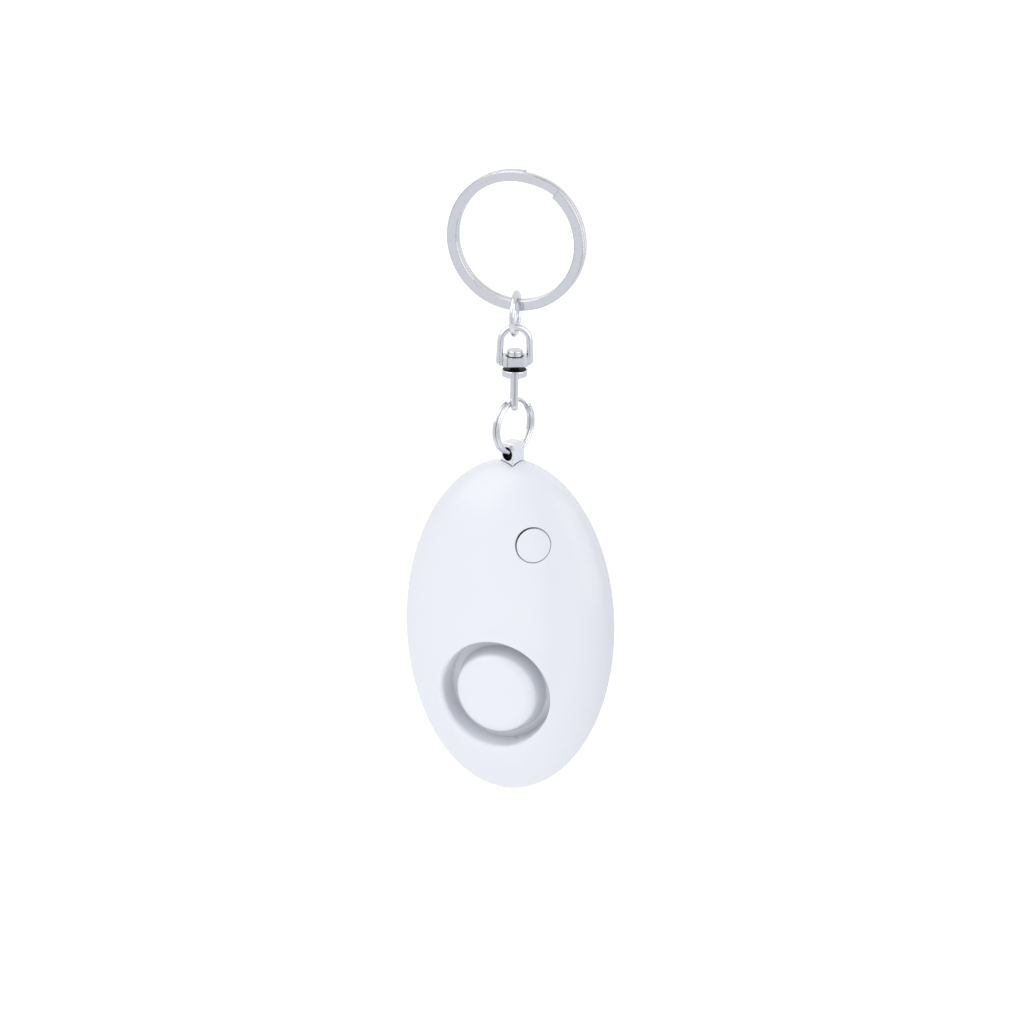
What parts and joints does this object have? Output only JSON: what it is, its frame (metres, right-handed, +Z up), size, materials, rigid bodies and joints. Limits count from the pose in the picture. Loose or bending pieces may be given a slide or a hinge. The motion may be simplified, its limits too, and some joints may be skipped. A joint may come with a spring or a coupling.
{
  "type": "personal safety alarm",
  "caption": "Egg-shaped pocket alarm with a sound groove and a push-button lamp, hung by its pull pin from a swivel and a split key ring.",
  "frame": {"origin": "centre of the split key ring", "axes": "+Z up along the hanging chain, -Y towards the front with the sound groove and the button, +X to the right as seen from the front"},
  "size_m": [0.038, 0.0184, 0.1127],
  "materials": {
    "ring_steel": "polished nickel plate",
    "swivel_chrome": "polished nickel plate",
    "pin_chrome": "polished plate",
    "shell_plastic": "satin gloss white",
    "button_plastic": "satin gloss white",
    "screw_steel": "plated",
    "black_plastic": "matt black",
    "part_ceramic": "matt",
    "board_laminate": "green mask",
    "ferrite": "matt",
    "siren_brass": "plain",
    "siren_ceramic": "silvered",
    "foam_rubber": "matt",
    "contact_brass": "spring strip",
    "cell_steel": "plated",
    "clear_plastic": "clear, slightly milky"
  },
  "bodies": {
    "key_ring": {"key_ring": "ring_steel"},
    "jump_ring": {"jump_ring": "ring_steel"},
    "swivel_bail": {"swivel_bail": "swivel_chrome"},
    "swivel_eye": {"swivel_eye": "swivel_chrome", "swivel_rivet": "swivel_chrome"},
    "pin_ring": {"pin_ring": "ring_steel"},
    "pull_pin": {"pin_head": "pin_chrome", "pin_shaft": "pin_chrome"},
    "casing": {"front_shell": "shell_plastic", "back_shell": "shell_plastic", "horn_plug": "shell_plastic", "case_screws": "screw_steel", "light_switch": "black_plastic", "circuit_board": "board_laminate", "control_chip": "black_plastic", "board_parts": "part_ceramic", "step_up_coil": "ferrite", "siren_plate": "siren_brass", "siren_ceramic": "siren_ceramic", "siren_gasket": "foam_rubber", "siren_contacts": "contact_brass", "coin_cells": "cell_steel", "battery_spring": "contact_brass", "battery_contact": "contact_brass", "pin_socket": "black_plastic", "contact_leaves": "contact_brass", "light_window": "clear_plastic", "torch_led": "clear_plastic"},
    "battery_cover": {"battery_cover": "shell_plastic", "battery_cover_screw": "screw_steel"},
    "light_button": {"light_button": "button_plastic", "switch_plunger": "black_plastic"}
  },
  "joints": [
    {"name": "jump_ring_swing", "type": "hinge", "parent": "key_ring", "child": "jump_ring", "pos_m": [0, 0, -0.0116], "axis": [1, 0, 0], "range_deg": [-40, 40]},
    {"name": "bail_swing", "type": "hinge", "parent": "jump_ring", "child": "swivel_bail", "pos_m": [0, 0, -0.01691], "axis": [0.1564, -0.9877, 0], "range_deg": [-40, 40]},
    {"name": "swivel_turn", "type": "hinge", "parent": "swivel_bail", "child": "swivel_eye", "pos_m": [0, 0, -0.0233], "axis": [0, 0, 1], "continuous": true},
    {"name": "pin_ring_swing", "type": "hinge", "parent": "swivel_eye", "child": "pin_ring", "pos_m": [0, 0, -0.03008], "axis": [0.3746, -0.9272, 0], "range_deg": [-15, 25]},
    {"name": "pin_swing", "type": "hinge", "parent": "pin_ring", "child": "pull_pin", "pos_m": [0, 0, -0.03838], "axis": [-0.454, -0.891, 0], "range_deg": [-40, 40]},
    {"name": "pin_pull", "type": "slide", "parent": "pull_pin", "child": "casing", "axis": [0, 0, -1], "range_m": [0, 0.02]},
    {"name": "light_button_press", "type": "slide", "parent": "casing", "child": "light_button", "axis": [0, 1, 0], "range_m": [0, 0.0004], "stiffness_N_per_m": 900, "springref_m": -0.0006},
    {"name": "battery_cover_lift", "type": "slide", "parent": "casing", "child": "battery_cover", "axis": [0, 1, 0], "range_m": [0, 0.014]}
  ]
}
